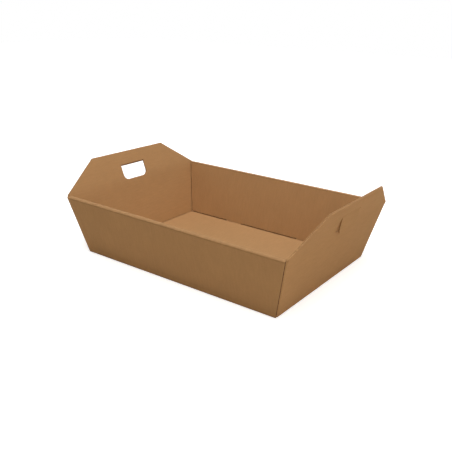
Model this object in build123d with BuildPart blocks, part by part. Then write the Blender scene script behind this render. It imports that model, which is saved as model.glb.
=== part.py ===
from build123d import *
from math import cos, radians, sin, tan
import os

# Open tray folded from one die-cut sheet of corrugated board.
# X runs along the long side, Y across it and Z up. The origin is the centre of the underside of
# the base, on which the tray rests. Lengths are in millimetres and angles in degrees.

# Board
board = 2.8                 # thickness of the sheet
layer_gap = 0.3             # play between two layers that lie on each other

# Base, measured between the creases of opposite walls
base_length = 450.0
base_width = 336.0

# Long walls: outer panel, top strip and inner panel
wall_slope = 117.5          # from the base crease up to the first top crease
wall_lean = 13.0            # outward from upright
inner_lift = 0.9            # the inner panel's lower edge above the base
inner_end_gap = 2.2         # between the inner panel's end and the end panel
corner_gap = 0.4            # between the outer panel's end and the rounded corner fold

# End panels
end_lean = 13.0             # outward from upright, up to the height of the long walls
handle_rise = 64.5          # how much further the end panel runs above the walls' top crease
handle_splay = 9.3          # further outward bend of the part above the walls
splay_lead = 12.5           # the bend starts this far below the walls' top crease
splay_length = 28.0         # length of the bend along the panel
end_top_width = 212.0
shoulder_rise = 4.2         # where the slanted edges start, above the walls' top crease

# Hand holes, each with a flap that stays attached at the crease along the top of the hole
hole_width = 70.0
hole_height = 34.0
hole_corner = 12.0          # radius of the two lower corners
hole_below_top = 28.0       # from the end panel's top edge down to the crease
cut_gap = 0.4               # width of the cut round the flap
hinge_liner = 0.3           # paper left on the panel's inner face, over the flap's rounded root
hinge_gap = 0.3             # play of the flap's root in its seat, and of its edge at the crease
left_flap_angle = 110.0     # how far each flap is swung out of its hole
right_flap_angle = 13.0

# Lock tabs of the inner panels, and their slots in the base
tab_width = 42.0
tab_spacing = 192.0         # between the centres of the two tabs of one wall
tab_corner = 1.2
tab_recess = 0.3            # the tab's tip above the underside of the base
slot_gap = 0.4

# Corner flaps, hidden between the two layers of the long walls
corner_flap_length = 95.0
corner_flap_lift = 1.0      # the flap's lower edge above the base
corner_flap_taper = 12.0    # how much lower its top edge ends at the free end
corner_flap_radius = 10.0

# Depths in a long wall, measured inward from the inner face of its outer panel
flap_depth = layer_gap + board
inner_depth = flap_depth + layer_gap
wall_depth = inner_depth + board

# Heights on an end panel, measured up its slope from the base crease
wall_level = wall_slope * cos(radians(wall_lean)) / cos(radians(end_lean))
splay_start = wall_level - splay_lead
splay_end = splay_start + splay_length
shoulder_level = wall_level + shoulder_rise
end_slope = wall_level + handle_rise
hole_level = end_slope - hole_below_top

# How far cutting shapes stand clear of the sheet, and how far folded strips lap onto the base
reach = 4 * board
lap = board / 2

# Planes on the inner faces of the long wall at +Y and of the end panel at +X. Their local y runs
# up the slope from the base crease. The wall's local z points into the tray, the end's out of it.
wall_out = Vector(0, cos(radians(wall_lean)), -sin(radians(wall_lean)))
end_out = Vector(cos(radians(end_lean)), 0, -sin(radians(end_lean)))
wall_face = Plane(origin=(0, base_width / 2, board), x_dir=(1, 0, 0), z_dir=-wall_out)
end_face = Plane(origin=(base_length / 2, 0, board), x_dir=(0, 1, 0), z_dir=end_out)


def end_face_x(depth, slope):
    """X of the end panel's inner face, at a depth in the long wall and a height up its slope."""
    height = depth * sin(radians(wall_lean)) + slope * cos(radians(wall_lean))
    return base_length / 2 + height * tan(radians(end_lean))


def slope_at(height, depth):
    """Height up the long wall's slope, at a depth, of what lies a height above the base."""
    return (height - depth * sin(radians(wall_lean))) / cos(radians(wall_lean))


def corner_crease_y(slope):
    """Y of the crease between the end panel and its corner flap, at a height up the end panel."""
    rise = slope * cos(radians(end_lean)) * tan(radians(wall_lean))
    return base_width / 2 + rise - flap_depth / cos(radians(wall_lean))


def draw_band(low, low_half_width, high, high_half_width):
    """Face between two slanted edges that mirror each other about the local y axis."""
    Polygon(
        (low_half_width, low),
        (high_half_width, high),
        (-high_half_width, high),
        (-low_half_width, low),
        align=None,
    )


# Space of the long wall between its slanted ends. The outer panel stops beside the corner fold,
# and the top strip and the inner panel stop before the end panel.
wall_low = -reach
wall_high = wall_slope + reach
with BuildPart() as wall_space:
    with BuildSketch(wall_face):
        draw_band(
            wall_low,
            end_face_x(flap_depth, wall_low) - corner_gap,
            wall_high,
            end_face_x(flap_depth, wall_high) - corner_gap,
        )
    extrude(amount=-reach)
    with BuildSketch(wall_face):
        draw_band(
            wall_low,
            end_face_x(inner_depth, wall_low) - inner_end_gap,
            wall_high,
            end_face_x(inner_depth, wall_high) - inner_end_gap,
        )
    extrude(amount=wall_depth + reach)

# Long wall: one strip of board, folded at the base crease and twice at the top. Each fold is
# sharp on its inside and rounded on its outside.
inner_edge = slope_at(inner_lift, inner_depth)
with BuildPart() as long_wall:
    with BuildSketch(Plane.YZ):
        up = Vector(sin(radians(wall_lean)), cos(radians(wall_lean)))
        inward = Vector(-cos(radians(wall_lean)), sin(radians(wall_lean)))
        base_crease = Vector(base_width / 2, board)
        outer_crease = base_crease + up * wall_slope
        inner_crease = outer_crease + inward * inner_depth
        inner_end = inner_crease - up * (wall_slope - inner_edge)
        with BuildLine():
            base_fold = CenterArc(base_crease, board, -90, 90 - wall_lean)
            outer_fold = CenterArc(outer_crease, board, -wall_lean, 90)
            inner_fold = CenterArc(inner_crease, board, 90 - wall_lean, 90)
            Line(base_fold @ 1, outer_fold @ 0)
            Line(outer_fold @ 1, inner_fold @ 0)
            Polyline(
                inner_fold @ 1,
                inner_end + inward * board,
                inner_end,
                inner_crease,
                outer_crease,
                base_crease,
                base_crease - (lap, 0),
                base_fold @ 0 - (lap, 0),
                base_fold @ 0,
            )
        make_face()
    extrude(amount=base_length, both=True)
    add(wall_space.part, mode=Mode.INTERSECT)

    # Lock tabs on the lower edge of the inner panel
    tab_tip = slope_at(tab_recess - board, inner_depth)
    with BuildSketch(wall_face.offset(inner_depth)) as tabs:
        with Locations((-tab_spacing / 2, tab_tip), (tab_spacing / 2, tab_tip)):
            tab_height = inner_edge + lap - tab_tip
            Rectangle(tab_width, tab_height, align=(Align.CENTER, Align.MIN))
        fillet(tabs.vertices().group_by(Axis.Y)[0], tab_corner)
    extrude(amount=board)

# Rounded fold between the end panel and its corner flap at +Y
corner_up = end_out.cross(wall_out).normalized()
corner_foot = Vector(base_length / 2, corner_crease_y(0), board)
fold_start = corner_foot + corner_up * (corner_flap_lift / corner_up.Z)
with BuildPart() as corner_fold:
    with BuildSketch(Plane(origin=fold_start, x_dir=end_out, z_dir=corner_up)):
        with BuildLine():
            bend_arc = CenterArc((0, 0), board, 0, end_out.get_angle(wall_out))
            Polyline(bend_arc @ 1, (0, 0), bend_arc @ 0)
        make_face()
    extrude(amount=end_slope)

# Corner flap at +Y, flat between the layers of the long wall
flap_low = slope_at(corner_flap_lift, flap_depth)
flap_high = wall_slope - layer_gap
with BuildPart() as corner_flap:
    low_x = end_face_x(flap_depth, flap_low)
    high_x = end_face_x(flap_depth, flap_high)
    with BuildSketch(wall_face.offset(layer_gap)) as flap_outline:
        Polygon(
            (low_x, flap_low),
            (high_x, flap_high),
            (high_x - corner_flap_length, flap_high - corner_flap_taper),
            (low_x - corner_flap_length, flap_low),
            align=None,
        )
        fillet(flap_outline.vertices().sort_by(Axis.X)[:2], corner_flap_radius)
    extrude(amount=board)

# End panel at +X: upright part, soft outward bend, and the handle part above it
with BuildPart() as end_wall:
    with BuildSketch(Plane.XZ):
        up = Vector(sin(radians(end_lean)), cos(radians(end_lean)))
        base_crease = Vector(base_length / 2, board)
        with BuildLine():
            lower = Polyline(base_crease - (lap, 0), base_crease, base_crease + up * splay_start)
            splay_radius = splay_length / radians(handle_splay)
            splay = JernArc(lower @ 1, up, splay_radius, -handle_splay)
            Line(splay @ 1, splay @ 1 + (splay % 1) * (end_slope - splay_end))
            offset(amount=board, side=Side.RIGHT, closed=True, mode=Mode.REPLACE)
        make_face()
    extrude(amount=base_width, both=True)

    # Its side edges follow the corner creases, where the corner flaps fold away
    with BuildSketch(end_face):
        end_low = -reach
        end_high = end_slope + reach
        draw_band(end_low, corner_crease_y(end_low), end_high, corner_crease_y(end_high))
    extrude(amount=end_slope, both=True, mode=Mode.INTERSECT)
    add(corner_fold.part)
    mirror(corner_fold.part, about=Plane.XZ)

    # Slanted edges from the shoulders to the top edge, drawn on the handle part's inner face
    splay_top = splay @ 1
    handle_out = end_out.rotate(Axis.Y, handle_splay)
    handle_face = Plane(origin=(splay_top.X, 0, splay_top.Y), x_dir=(0, 1, 0), z_dir=handle_out)
    shoulder_half_width = corner_crease_y(shoulder_level) + board / 2
    slant = (shoulder_half_width - end_top_width / 2) / (end_slope - shoulder_level)
    handle_low = -splay_end - reach
    handle_high = end_slope - splay_end
    with BuildSketch(handle_face):
        low_half_width = end_top_width / 2 + slant * (handle_high - handle_low)
        draw_band(handle_low, low_half_width, handle_high, end_top_width / 2)
    extrude(amount=end_slope, both=True, mode=Mode.INTERSECT)

    # Hand hole, and the rounded seat of its flap's root above the crease
    with BuildSketch(handle_face) as hole:
        with Locations((0, hole_level - splay_end)):
            Rectangle(hole_width, hole_height, align=(Align.CENTER, Align.MAX))
        fillet(hole.vertices().group_by(Axis.Y)[0], hole_corner)
    extrude(amount=reach, both=True, mode=Mode.SUBTRACT)
    seat_radius = board - hinge_liner
    hinge_point = handle_face.from_local_coords((0, hole_level - splay_end, board))
    hinge_section = Plane(origin=hinge_point, x_dir=-handle_out, z_dir=(0, 1, 0))
    with BuildSketch(hinge_section):
        Circle(seat_radius)
    extrude(amount=hole_width / 2, both=True, mode=Mode.SUBTRACT)

    add(corner_flap.part)
    mirror(corner_flap.part, about=Plane.XZ)

# Tray: base with the slots for the lock tabs, two long walls and two end walls
slot_inner_y = base_width / 2 - board * tan(radians(wall_lean)) - wall_depth / cos(radians(wall_lean))
slot_outer_y = base_width / 2 - inner_depth / cos(radians(wall_lean))
slot_width = slot_outer_y - slot_inner_y + 2 * slot_gap
with BuildPart() as tray:
    with BuildSketch() as base:
        Rectangle(base_length, base_width)
        with GridLocations(tab_spacing, slot_outer_y + slot_inner_y, 2, 2):
            Rectangle(tab_width + 2 * slot_gap, slot_width, mode=Mode.SUBTRACT)
    extrude(amount=board)
    add(long_wall.part)
    mirror(long_wall.part, about=Plane.XZ)
    add(end_wall.part)
    mirror(end_wall.part, about=Plane.YZ)
tray.part.label = "tray"

# Flap of the hand hole at +X, flush in its hole. Its root is rounded about the crease.
flap_width = hole_width - 2 * cut_gap
with BuildPart() as flush_flap:
    flap_height = hole_height - cut_gap - hinge_gap
    with BuildSketch(handle_face) as flap_shape:
        with Locations((0, hole_level - splay_end - hinge_gap)):
            Rectangle(flap_width, flap_height, align=(Align.CENTER, Align.MAX))
        fillet(flap_shape.vertices().group_by(Axis.Y)[0], hole_corner - cut_gap)
    extrude(amount=board)
    with BuildSketch(hinge_section):
        Circle(seat_radius - hinge_gap)
        Rectangle(board, 2 * board, align=(Align.MIN, Align.CENTER), mode=Mode.INTERSECT)
    extrude(amount=flap_width / 2, both=True)

# The two flaps, each swung out of its hole about the crease
hinge = Axis(hinge_point, (0, -1, 0))
with BuildPart() as right_handle_flap:
    add(flush_flap.part.rotate(hinge, right_flap_angle))
right_handle_flap.part.label = "right_handle_flap"

with BuildPart() as left_handle_flap:
    mirror(flush_flap.part.rotate(hinge, left_flap_angle), about=Plane.YZ)
left_handle_flap.part.label = "left_handle_flap"

os.makedirs("parts", exist_ok=True)
for piece in (tray, right_handle_flap, left_handle_flap):
    export_step(piece.part, f"parts/{piece.part.label}.step")

# Places that the joints and openings refer to, in millimetres
print("hinge of the right flap", hinge_point)
print("hinge of the left flap", Vector(-hinge_point.X, hinge_point.Y, hinge_point.Z))
print("overall", tray.part.bounding_box())
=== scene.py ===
from math import atan2, cos, hypot, pi, radians, sin

import bpy
from mathutils import Matrix, Quaternion, Vector


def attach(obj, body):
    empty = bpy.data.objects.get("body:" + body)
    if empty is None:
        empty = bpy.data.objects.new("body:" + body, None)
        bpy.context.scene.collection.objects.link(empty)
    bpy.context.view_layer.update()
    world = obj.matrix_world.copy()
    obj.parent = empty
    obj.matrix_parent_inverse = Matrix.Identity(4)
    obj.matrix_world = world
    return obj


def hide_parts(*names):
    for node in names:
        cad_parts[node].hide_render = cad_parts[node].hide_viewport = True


# Open cardboard carrying tray, folded from one sheet of corrugated board. Metres, X along the
# long side, Y across it, Z up, origin in the middle of the underside of the base.
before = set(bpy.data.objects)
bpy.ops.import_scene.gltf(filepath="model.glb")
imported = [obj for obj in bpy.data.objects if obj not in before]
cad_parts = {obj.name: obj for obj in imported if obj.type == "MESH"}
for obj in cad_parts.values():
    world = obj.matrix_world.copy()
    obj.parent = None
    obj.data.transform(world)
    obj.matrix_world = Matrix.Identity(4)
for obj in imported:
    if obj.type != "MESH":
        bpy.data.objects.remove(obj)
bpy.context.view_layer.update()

# Camera: a long lens half a metre up, looking down over the tray's right front corner.
VIEW_LINE = Vector((-0.548, 0.7618, -0.3453))
CAMERA_ROLL = 0.0267
lens_data = bpy.data.cameras.new("camera")
lens_data.sensor_width = 36.0
lens_data.lens = 47.3
camera = bpy.data.objects.new("camera", lens_data)
bpy.context.scene.collection.objects.link(camera)
camera.location = (0.6647, -0.9267, 0.4813)
look = VIEW_LINE.to_track_quat("-Z", "Y")
camera.rotation_euler = (look @ Quaternion((0, 0, 1), CAMERA_ROLL)).to_euler()
bpy.context.scene.camera = camera
bpy.context.scene.view_settings.view_transform = "Standard"

# Studio: a white sweep that the camera sees as plain white, with the tray's soft shadow on it.
# It is brightened further out, where less light falls. A wide overhead softbox, four weaker
# ones round the sides and a faint even dome light it.
WHITE = (1.0, 1.0, 1.0, 1.0)
COOL, WARM = (0.945, 1.0, 1.12), (1.03, 0.985, 0.95)
DOME_STRENGTH = 0.1


def math_node(tree, operation, first, second=None, third=None):
    """One sum in a node tree. Each value is a number or another node's output."""
    node = tree.nodes.new("ShaderNodeMath")
    node.operation = operation
    for slot, value in enumerate((first, second, third)):
        if value is None:
            continue
        if isinstance(value, (int, float)):
            node.inputs[slot].default_value = value
        else:
            tree.links.new(value, node.inputs[slot])
    return node.outputs[0]


def ramp_node(tree, value, low, high, to_low=0.0, to_high=1.0):
    """A value eased from one range to another, and held at its ends."""
    node = tree.nodes.new("ShaderNodeMapRange")
    node.interpolation_type = "SMOOTHSTEP"
    tree.links.new(value, node.inputs["Value"])
    for socket, number in (("From Min", low), ("From Max", high),
                           ("To Min", to_low), ("To Max", to_high)):
        node.inputs[socket].default_value = number
    return node.outputs["Result"]


def seen_rays(tree):
    """One for rays from the camera, straight or by way of a mirror or glass, and else zero."""
    rays = tree.nodes.new("ShaderNodeLightPath")
    seen = rays.outputs["Is Camera Ray"]
    for kind in ("Is Glossy Ray", "Is Transmission Ray"):
        seen = math_node(tree, "MAXIMUM", seen, rays.outputs[kind])
    return seen


dome = bpy.data.worlds.new("dome")
bpy.context.scene.world = dome
dome.use_nodes = True
dome_tree = dome.node_tree
dome_tree.nodes.clear()
dome_mix = dome_tree.nodes.new("ShaderNodeMixShader")
dome_tree.links.new(seen_rays(dome_tree), dome_mix.inputs["Fac"])
for slot, strength in ((1, DOME_STRENGTH), (2, 1.0)):
    background = dome_tree.nodes.new("ShaderNodeBackground")
    background.inputs["Color"].default_value = WHITE
    background.inputs["Strength"].default_value = strength
    dome_tree.links.new(background.outputs[0], dome_mix.inputs[slot])
dome_out = dome_tree.nodes.new("ShaderNodeOutputWorld")
dome_tree.links.new(dome_mix.outputs[0], dome_out.inputs["Surface"])

for name, place, size, power, tint in (
    ("overhead_softbox", (0.3, -0.3, 2.4), 2.0, 50.0, COOL),
    ("right_softbox", (2.2, -0.6, 1.2), 1.2, 13.0, WARM),
    ("left_softbox", (-2.2, -0.2, 1.4), 1.2, 12.0, COOL),
    ("front_softbox", (0.9, -1.3, 2.3), 1.2, 6.2, WARM),
    ("back_softbox", (0.2, 2.2, 1.6), 1.2, 6.0, COOL),
):
    panel = bpy.data.lights.new(name, "AREA")
    panel.shape = "SQUARE"
    panel.size = size
    panel.energy = power
    panel.color = tint
    softbox = bpy.data.objects.new(name, panel)
    bpy.context.scene.collection.objects.link(softbox)
    softbox.location = place
    softbox.rotation_euler = (-Vector(place)).to_track_quat("-Z", "Y").to_euler()

# The sweep lies just under the tray. Its glow rises between two distances from the tray.
SWEEP_SIZE = 12
SWEEP_DROP = 0.0004
SWEEP_TINT = (0.74, 0.69, 0.61, 1)
RISE_START, RISE_END = 0.6, 1.6
GLOW_NEAR, GLOW_FAR = 0.66, 1.0
bpy.ops.mesh.primitive_plane_add(size=SWEEP_SIZE, location=(0, 0, -SWEEP_DROP))
sweep = bpy.context.object
sweep.name = "sweep"
sweep_paper = bpy.data.materials.new("sweep_paper")
sweep_paper.use_nodes = True
sweep_tree = sweep_paper.node_tree
sweep_shader = sweep_tree.nodes["Principled BSDF"]
sweep_shader.inputs["Base Color"].default_value = SWEEP_TINT
sweep_shader.inputs["Roughness"].default_value = 0.9
sweep_shader.inputs["Emission Color"].default_value = WHITE
sweep_place = sweep_tree.nodes.new("ShaderNodeTexCoord")
from_tray = sweep_tree.nodes.new("ShaderNodeVectorMath")
from_tray.operation = "LENGTH"
sweep_tree.links.new(sweep_place.outputs["Object"], from_tray.inputs[0])
whitening = ramp_node(sweep_tree, from_tray.outputs["Value"], RISE_START, RISE_END,
                      GLOW_NEAR, GLOW_FAR)
sweep_glow = math_node(sweep_tree, "MULTIPLY", seen_rays(sweep_tree), whitening)
sweep_tree.links.new(sweep_glow, sweep_shader.inputs["Emission Strength"])
sweep.data.materials.append(sweep_paper)

# Tray: one die-cut sheet of brown single-wall corrugated board. The ends stand up with their
# corner flaps folded in, and the long sides roll over them and lock in the base with two tabs
# each. The flutes lie across the sheet, so they run along the ends and up the long sides.
BOARD = 0.0028
BASE_LENGTH, BASE_WIDTH = 0.450, 0.336
LEAN = radians(13.0)
WALL_SLOPE = 0.1175
INNER_DEPTH = 0.0034
SPLAY = radians(9.3)
SPLAY_START, SPLAY_LENGTH = 0.105, 0.028
SPLAY_RADIUS = SPLAY_LENGTH / SPLAY
LAYER_GAP = 0.0003
STRIP_END = WALL_SLOPE + INNER_DEPTH
TAB_X, TAB_HALF_WIDTH = 0.096, 0.0211
CORNER_Y = BASE_WIDTH / 2 - (BOARD + LAYER_GAP) / cos(LEAN)
END_OUT = Vector((cos(LEAN), 0, -sin(LEAN)))
WALL_OUT = Vector((0, cos(LEAN), -sin(LEAN)))
CORNER_UP = END_OUT.cross(WALL_OUT).normalized()
WELD = 1e-6
TINY = 1e-5
FLAT_ANGLE = radians(0.5)
SMOOTH_ANGLE = radians(20)


def join_flat_faces():
    """Leaves edit mode with triangles of one plane joined and only the bends shaded smooth."""
    bpy.ops.mesh.select_all(action="SELECT")
    bpy.ops.mesh.dissolve_limited(angle_limit=FLAT_ANGLE)
    bpy.ops.object.mode_set(mode="OBJECT")
    bpy.ops.object.shade_smooth_by_angle(angle=SMOOTH_ANGLE)


def bring_out(node, name):
    """The sheet of a node as a piece of its own, with its triangles joined to whole faces."""
    piece = bpy.data.objects.new(name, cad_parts[node].data.copy())
    bpy.context.scene.collection.objects.link(piece)
    bpy.ops.object.select_all(action="DESELECT")
    piece.select_set(True)
    bpy.context.view_layer.objects.active = piece
    bpy.ops.object.mode_set(mode="EDIT")
    bpy.ops.mesh.select_all(action="SELECT")
    bpy.ops.mesh.remove_doubles(threshold=WELD)
    bpy.ops.mesh.customdata_custom_splitnormals_clear()
    join_flat_faces()
    return piece


def place_on_handle(point):
    """Where a point of the flat handle part lies in the sheet: across the flutes, along them
    and through the board from its inner face."""
    side = 1 if point.x > 0 else -1
    out, height = abs(point.x) - BASE_LENGTH / 2, point.z - BOARD
    rise = out * sin(LEAN) + height * cos(LEAN) - SPLAY_START
    drop = SPLAY_RADIUS - out * cos(LEAN) + height * sin(LEAN)
    slope = SPLAY_START + SPLAY_LENGTH + rise * cos(SPLAY) - drop * sin(SPLAY)
    depth = SPLAY_RADIUS - rise * sin(SPLAY) - drop * cos(SPLAY)
    return Vector((side * (BASE_LENGTH / 2 + slope), point.y, depth))


def place_on_end(point):
    """The same for any point of an end panel, its creases and its soft bend."""
    side = 1 if point.x > 0 else -1
    out, height = abs(point.x) - BASE_LENGTH / 2, point.z - BOARD
    slope = out * sin(LEAN) + height * cos(LEAN)
    depth = out * cos(LEAN) - height * sin(LEAN)
    turned = atan2(slope - SPLAY_START, SPLAY_RADIUS - depth)
    if abs(point.y) > CORNER_Y + slope * sin(LEAN) + TINY:
        depth = Vector((out, abs(point.y) - CORNER_Y, height)).cross(CORNER_UP).length
    elif turned > SPLAY:
        return place_on_handle(point)
    elif turned > 0:
        depth = SPLAY_RADIUS - hypot(slope - SPLAY_START, SPLAY_RADIUS - depth)
        slope = SPLAY_START + SPLAY_RADIUS * turned
    elif slope < 0:
        depth = hypot(slope, depth)
    return Vector((side * (BASE_LENGTH / 2 + slope), point.y, depth))


def up_the_wall(point):
    """Height up a long wall's slope, and depth inward from its outer panel's inner face."""
    out, height = abs(point.y) - BASE_WIDTH / 2, point.z - BOARD
    return (out * sin(LEAN) + height * cos(LEAN), height * sin(LEAN) - out * cos(LEAN))


def place_on_wall(point, centre, normal):
    """The same for any point of a long wall. The face's centre says in which layer it lies."""
    side = 1 if point.y > 0 else -1
    slope, depth = up_the_wall(point)
    layer_slope, layer_depth = up_the_wall(centre)
    past_top = max(slope - WALL_SLOPE, 0)
    on_cut_end = abs(normal.x) > 0.5
    if on_cut_end:
        through, along = (-depth if layer_depth < 0 else depth - INNER_DEPTH), slope
    elif layer_depth > INNER_DEPTH - TINY:
        through, along = hypot(depth - INNER_DEPTH, past_top), STRIP_END + WALL_SLOPE - slope
    elif layer_depth < TINY:
        through, along = hypot(depth, past_top, min(slope, 0)), slope
    elif layer_slope > WALL_SLOPE:
        through, along = past_top, WALL_SLOPE + depth
    else:
        through, along = INNER_DEPTH - LAYER_GAP - depth, slope
    return Vector((point.x, side * (BASE_WIDTH / 2 + along), through))


def place_on_tray(point, centre, normal):
    """The same for any point of the tray. The face's centre says on which panel it lies."""
    out, height = abs(centre.x) - BASE_LENGTH / 2, centre.z - BOARD
    _, depth = up_the_wall(centre)
    beyond_end = out * cos(LEAN) - max(height, 0) * sin(LEAN)
    on_base_edge = height <= 0 and out <= TINY
    if beyond_end > -TINY and not on_base_edge and depth > LAYER_GAP / 2:
        place = place_on_end(point)
        # Where the soft bend meets the corner fold, its side is folded paper and no cut edge
        beside_corner_fold = abs(normal.y) > 0.9 and abs(centre.y) > CORNER_Y
        if beside_corner_fold:
            place.z = BOARD
        return place
    on_tab = depth > INNER_DEPTH - TINY and abs(abs(centre.x) - TAB_X) < TAB_HALF_WIDTH
    if depth < INNER_DEPTH + BOARD + TINY and (height > TINY or depth < TINY or on_tab):
        return place_on_wall(point, centre, normal)
    return Vector((point.x, point.y, BOARD - point.z))


def write_sheet_places(piece, place):
    """Keeps at every face corner where it lies in the flat sheet, for the board's finish."""
    mesh = piece.data
    sheet = mesh.attributes.new("sheet", "FLOAT_VECTOR", "CORNER")
    for face in mesh.polygons:
        for corner in face.loop_indices:
            point = mesh.vertices[mesh.loops[corner].vertex_index].co
            sheet.data[corner].vector = place(point, face.center, face.normal)


tray = bring_out("tray", "tray_board")

# At its right end the front wall laps a little further over the corner fold and the end panel.
# Its cut ends face right and a little back, which no face of the end panel does.
LAP = 0.0016
bpy.ops.object.mode_set(mode="EDIT")
bpy.ops.mesh.select_mode(type="FACE")
bpy.ops.mesh.select_all(action="DESELECT")
bpy.ops.object.mode_set(mode="OBJECT")
for face in tray.data.polygons:
    faces_right, faces_back = face.normal.x > 0.5, face.normal.y > 0.04
    face.select = faces_right and faces_back and face.center.y < 0
bpy.ops.object.mode_set(mode="EDIT")
bpy.ops.mesh.extrude_region_move(TRANSFORM_OT_translate={"value": (LAP, 0, 0)})
join_flat_faces()
write_sheet_places(tray, place_on_tray)


def start_group(name, amounts, results):
    """An empty node group with its input and output nodes. It takes a place in the sheet and
    named amounts, and gives named results."""
    group = bpy.data.node_groups.new(name, "ShaderNodeTree")
    group.interface.new_socket("Place", in_out="INPUT", socket_type="NodeSocketVector")
    for amount in amounts:
        group.interface.new_socket(amount, in_out="INPUT", socket_type="NodeSocketFloat")
    for result in results:
        group.interface.new_socket(result, in_out="OUTPUT", socket_type="NodeSocketFloat")
    return group, group.nodes.new("NodeGroupInput"), group.nodes.new("NodeGroupOutput")


NOISE_MIDDLE = 0.5


def noise_node(tree, place, stretch, scale, detail, roughness=0.5):
    """Noise over the sheet, stretched along one of its directions."""
    mapping = tree.nodes.new("ShaderNodeMapping")
    mapping.inputs["Scale"].default_value = stretch
    tree.links.new(place, mapping.inputs["Vector"])
    node = tree.nodes.new("ShaderNodeTexNoise")
    node.inputs["Scale"].default_value = scale
    node.inputs["Detail"].default_value = detail
    node.inputs["Roughness"].default_value = roughness
    tree.links.new(mapping.outputs["Vector"], node.inputs["Vector"])
    return node.outputs["Fac"]


# Paper of the two liners: cloudy, with fine fibres that lie across the flutes and a few flecks.
# Its noise changes fast through the board, so that the two faces differ.
THROUGH = 30.0
FLECK_START, FLECK_FULL = 0.66, 0.76
paper, paper_in, paper_out = start_group(
    "kraft_paper", ("Cloud", "Fibre", "Fleck"), ("Tone", "Height"))
paper_place, cloud, fibre, fleck = (
    paper_in.outputs[socket] for socket in ("Place", "Cloud", "Fibre", "Fleck"))
clouds = noise_node(paper, paper_place, (1.0, 0.7, THROUGH), scale=28.0, detail=4.0,
                    roughness=0.6)
fibres = noise_node(paper, paper_place, (0.22, 1.0, THROUGH), scale=1400.0, detail=2.0)
specks = noise_node(paper, paper_place, (0.35, 1.0, THROUGH), scale=620.0, detail=1.0)
specks = ramp_node(paper, specks, FLECK_START, FLECK_FULL)
cloud_tone = math_node(paper, "SUBTRACT", clouds, NOISE_MIDDLE)
cloud_tone = math_node(paper, "MULTIPLY", cloud_tone, cloud)
fibre_tone = math_node(paper, "SUBTRACT", fibres, NOISE_MIDDLE)
fibre_tone = math_node(paper, "MULTIPLY", fibre_tone, fibre)
fleck_tone = math_node(paper, "MULTIPLY", specks, fleck)
tone = math_node(paper, "ADD", math_node(paper, "ADD", cloud_tone, fibre_tone), 1.0)
tone = math_node(paper, "SUBTRACT", tone, fleck_tone)
paper.links.new(tone, paper_out.inputs["Tone"])
paper.links.new(fibres, paper_out.inputs["Height"])


def panel_masks(tree, place):
    """The parts of a place in the sheet, how far out it is across the flutes and along them,
    and whether it is on an end panel or on a long wall."""
    axes = tree.nodes.new("ShaderNodeSeparateXYZ")
    tree.links.new(place, axes.inputs[0])
    across, along = (math_node(tree, "ABSOLUTE", axes.outputs[axis]) for axis in "XY")
    past_end = math_node(tree, "SUBTRACT", across, BASE_LENGTH / 2)
    past_side = math_node(tree, "SUBTRACT", along, BASE_WIDTH / 2)
    on_end, on_wall = (
        math_node(tree, "GREATER_THAN", past, math_node(tree, "MAXIMUM", other, 0.0))
        for past, other in ((past_end, past_side), (past_side, past_end))
    )
    return axes, across, along, on_end, on_wall


# Flutes: the wave of the paper between the liners. It shows through them as faint ribs, and as
# a wavy line between hollows where the board is cut, with painted shade in the hollows. The long
# walls' cut ends run along the flutes, so there the hollows lie open and get darker painted
# shade.
FLUTE_PITCH = 0.0064
LINER = 0.00028
MEDIUM = 0.0002
HALF_CORE = BOARD / 2 - LINER
LINER_BLUR = 0.00005
WAVE_BLUR = 0.4
# Where the flutes are cut across, the hollows' painted shade and relief depth are this share of
# the open ends'
CLOSED_HOLLOW_SHADE = 0.35
flutes, flutes_in, flutes_out = start_group("flutes", (), ("Rib", "Streak", "Hollow And Shade"))
flute_axes, _, _, _, open_ends = panel_masks(flutes, flutes_in.outputs["Place"])
turns = math_node(flutes, "MULTIPLY", flute_axes.outputs["X"], 2 * pi / FLUTE_PITCH)
rib = math_node(flutes, "SINE", turns)
flutes.links.new(rib, flutes_out.inputs["Rib"])
streaks = noise_node(flutes, flutes_in.outputs["Place"], (1.0, 0.25, THROUGH), scale=210.0,
                     detail=2.0)
streaks = math_node(flutes, "SUBTRACT", streaks, NOISE_MIDDLE)
flutes.links.new(streaks, flutes_out.inputs["Streak"])
from_middle = math_node(flutes, "SUBTRACT", flute_axes.outputs["Z"], BOARD / 2)
off_middle = math_node(flutes, "ABSOLUTE", from_middle)
in_core = ramp_node(flutes, off_middle, HALF_CORE - LINER_BLUR, HALF_CORE + LINER_BLUR, 1.0, 0.0)
swing = HALF_CORE - MEDIUM / 2
from_wave = math_node(flutes, "MULTIPLY_ADD", rib, -swing, from_middle)
from_wave = math_node(flutes, "ABSOLUTE", from_wave)
# Painted shade: the hollows between the wave and the liners are darkened, more where they lie
# open
hollow_and_shade = ramp_node(flutes, from_wave, MEDIUM * (1 - WAVE_BLUR), MEDIUM * (1 + WAVE_BLUR))
hollow_and_shade = math_node(flutes, "MULTIPLY", hollow_and_shade, in_core)
hollow_shade_and_depth = math_node(flutes, "MULTIPLY_ADD", open_ends, 1 - CLOSED_HOLLOW_SHADE, CLOSED_HOLLOW_SHADE)
hollow_and_shade = math_node(flutes, "MULTIPLY", hollow_and_shade, hollow_shade_and_depth)
flutes.links.new(hollow_and_shade, flutes_out.inputs["Hollow And Shade"])

# Creases: the board is crushed along its folds, which leaves a rubbed line that is darkened
# further with painted shade, and painted shade darkens a line into the base on its inside along
# the walls' feet and a wider one along its ends. The long walls' line stops at the tabs.
# Each line has the half widths at which it starts to fade and at which it is gone.
# Rubbed fold lines: partly real rubbing, partly painted shade
RUBBED_SHADE_LINE = (0.0006, 0.0022)
WEAR_START, WEAR_FULL = 0.3, 0.65
LEAST_RUBBED_SHADE = 0.4
FOOT_Y = BASE_WIDTH / 2 - (INNER_DEPTH + BOARD) / cos(LEAN)
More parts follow.
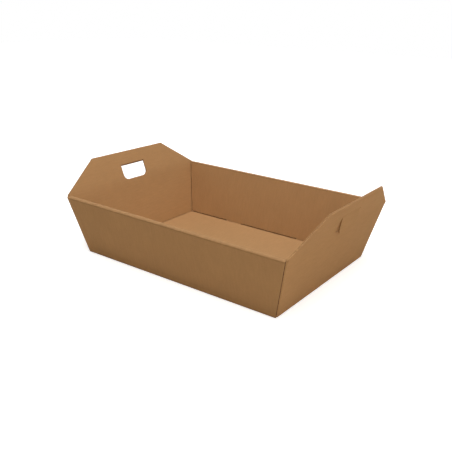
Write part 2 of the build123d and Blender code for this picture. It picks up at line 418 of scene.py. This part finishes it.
# Painted shade lines on the base's inside, along the long walls' feet and along the ends
FOOT_SHADE_LINE, FOOT_SHADE_STRENGTH = (0.0012, 0.0038), 0.6
END_SHADE_LINE, END_SHADE_STRENGTH = (0.002, 0.0062), 0.4
TAB_BLUR = 0.001
NEAR_INNER_FACE = 0.001
crease, crease_in, crease_out = start_group("crease", (), ("Rubbed Shade", "Base Shade"))
crease_place = crease_in.outputs["Place"]
crease_axes, across, along, on_end, on_wall = panel_masks(crease, crease_place)


def line_mask(distance, line, strength=1.0):
    """How strongly a line shows at a distance from its middle."""
    return ramp_node(crease, distance, *line, strength, 0.0)


rubbed_shade = 0.0
for elsewhere, reach, fold in (
    (on_wall, across, BASE_LENGTH / 2),
    (on_end, along, BASE_WIDTH / 2),
    (on_end, along, BASE_WIDTH / 2 + WALL_SLOPE),
    (on_end, along, BASE_WIDTH / 2 + STRIP_END),
):
    off_fold = math_node(crease, "ABSOLUTE", math_node(crease, "SUBTRACT", reach, fold))
    off_fold = math_node(crease, "ADD", elsewhere, off_fold)
    rubbed_shade = math_node(crease, "MAXIMUM", rubbed_shade, line_mask(off_fold, RUBBED_SHADE_LINE))
wear = noise_node(crease, crease_place, (1.0, 1.0, 1.0), scale=260.0, detail=3.0)
wear = ramp_node(crease, wear, WEAR_START, WEAR_FULL, LEAST_RUBBED_SHADE, 1.0)
crease.links.new(math_node(crease, "MULTIPLY", rubbed_shade, wear), crease_out.inputs["Rubbed Shade"])

# Painted shade on the base along the walls' feet, stopped at the tabs, and along its ends
off_tab = math_node(crease, "ABSOLUTE", math_node(crease, "SUBTRACT", across, TAB_X))
beside_tab = ramp_node(crease, off_tab, TAB_HALF_WIDTH - TAB_BLUR, TAB_HALF_WIDTH + TAB_BLUR)
from_foot = math_node(crease, "SUBTRACT", FOOT_Y, along)
from_end = math_node(crease, "SUBTRACT", BASE_LENGTH / 2, across)
painted_base_shade = line_mask(from_foot, FOOT_SHADE_LINE, FOOT_SHADE_STRENGTH)
painted_base_shade = math_node(crease, "MULTIPLY", beside_tab, painted_base_shade)
painted_base_shade = math_node(crease, "MAXIMUM", painted_base_shade, line_mask(from_end, END_SHADE_LINE, END_SHADE_STRENGTH))
on_inside = math_node(crease, "LESS_THAN", crease_axes.outputs["Z"], NEAR_INNER_FACE)
for beyond in (on_end, on_wall):
    on_base = math_node(crease, "SUBTRACT", 1.0, beyond)
    on_inside = math_node(crease, "MULTIPLY", on_inside, on_base)
painted_base_shade = math_node(crease, "MULTIPLY", painted_base_shade, on_inside)
crease.links.new(painted_base_shade, crease_out.inputs["Base Shade"])

# Finish of the board: brown kraft in the paper's tone, darker along the folds where it is rubbed
# and painted with shade, with painted shade along the walls' feet and the base's ends and near
# black painted shade in the hollows, with the ribs, the fibres and the hollows as a slight
# relief
KRAFT = (0.459, 0.248, 0.100, 1)
# The rubbed folds' colour: partly real rubbing, partly painted shade
KRAFT_RUBBED_SHADE = (0.365, 0.195, 0.079, 1)
# Painted shade along the walls' feet and the base's ends
KRAFT_BASE_SHADE = (0.120, 0.052, 0.016, 1)
# Near black painted shade for the flute hollows
KRAFT_HOLLOW_SHADE = (0.060, 0.026, 0.008, 1)
STREAK_TONE, RIB_TONE = 0.13, 0.006
RIB_HEIGHT, FIBRE_HEIGHT, HOLLOW_DEPTH = 0.000015, 0.00008, 0.0006
MIX_FACTOR, MIX_FIRST, MIX_SECOND, MIX_RESULT = 0, 6, 7, 2
kraft_board = bpy.data.materials.new("kraft_board")
kraft_board.use_nodes = True
board_tree = kraft_board.node_tree
board_shader = board_tree.nodes["Principled BSDF"]
board_shader.inputs["Roughness"].default_value = 0.88
board_shader.inputs["Specular IOR Level"].default_value = 0.15
sheet_place = board_tree.nodes.new("ShaderNodeAttribute")
sheet_place.attribute_name = "sheet"


def use_group(group):
    """A group's node in the board's finish, fed with the place in the sheet."""
    node = board_tree.nodes.new("ShaderNodeGroup")
    node.node_tree = group
    board_tree.links.new(sheet_place.outputs["Vector"], node.inputs["Place"])
    return node


def mix_node(blend, factor, first, second):
    """One mix of colours in the board's finish. Each value is constant or a node's output."""
    node = board_tree.nodes.new("ShaderNodeMix")
    node.data_type = "RGBA"
    node.blend_type = blend
    for slot, value in ((MIX_FACTOR, factor), (MIX_FIRST, first), (MIX_SECOND, second)):
        if isinstance(value, (float, tuple)):
            node.inputs[slot].default_value = value
        else:
            board_tree.links.new(value, node.inputs[slot])
    return node.outputs[MIX_RESULT]


paper_made, flutes_made, crease_made = (use_group(group) for group in (paper, flutes, crease))
for socket, amount in (("Cloud", 0.10), ("Fibre", 0.12), ("Fleck", 0.09)):
    paper_made.inputs[socket].default_value = amount
ribs_seen, streaks_seen, hollows_and_shade_seen = (
    flutes_made.outputs[socket] for socket in ("Rib", "Streak", "Hollow And Shade"))
flute_tone = math_node(board_tree, "MULTIPLY_ADD", streaks_seen, STREAK_TONE, 1.0)
flute_tone = math_node(board_tree, "MULTIPLY_ADD", ribs_seen, RIB_TONE, flute_tone)
kraft_tone = math_node(board_tree, "MULTIPLY", paper_made.outputs["Tone"], flute_tone)
toned = mix_node("MULTIPLY", 1.0, KRAFT, kraft_tone)
# Rubbed folds: partly real rubbing, partly painted shade
toned = mix_node("MIX", crease_made.outputs["Rubbed Shade"], toned, KRAFT_RUBBED_SHADE)
# Painted shade along the walls' feet and the base's ends
toned = mix_node("MIX", crease_made.outputs["Base Shade"], toned, KRAFT_BASE_SHADE)
# Painted shade in the flute hollows
toned = mix_node("MIX", hollows_and_shade_seen, toned, KRAFT_HOLLOW_SHADE)
board_tree.links.new(toned, board_shader.inputs["Base Color"])
relief = math_node(board_tree, "MULTIPLY", paper_made.outputs["Height"], FIBRE_HEIGHT)
relief = math_node(board_tree, "MULTIPLY_ADD", ribs_seen, RIB_HEIGHT, relief)
relief = math_node(board_tree, "MULTIPLY_ADD", hollows_and_shade_seen, -HOLLOW_DEPTH, relief)
bump = board_tree.nodes.new("ShaderNodeBump")
bump.inputs["Distance"].default_value = 1.0
board_tree.links.new(relief, bump.inputs["Height"])
board_tree.links.new(bump.outputs["Normal"], board_shader.inputs["Normal"])
tray.data.materials.clear()
tray.data.materials.append(kraft_board)
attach(tray, "tray")
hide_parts("tray")

# Handle flaps: the part of each end panel cut free inside its hand hole. It stays joined along
# the crease at the top of the hole. The left one is swung out, the right one nearly closed.
HINGE = Vector((0.267659, 0, 0.150128))
for node, side, swung in (("left_handle_flap", -1, 110.0), ("right_handle_flap", 1, 13.0)):
    flap = bring_out(node, node + "_board")
    hinge = Vector((side * HINGE.x, HINGE.y, HINGE.z))
    to_flush = (Matrix.Translation(hinge) @ Matrix.Rotation(radians(side * swung), 4, "Y")
                @ Matrix.Translation(-hinge))
    write_sheet_places(flap, lambda point, *face: place_on_handle(to_flush @ point))
    flap.data.materials.clear()
    flap.data.materials.append(kraft_board)
    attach(flap, node)
    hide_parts(node)
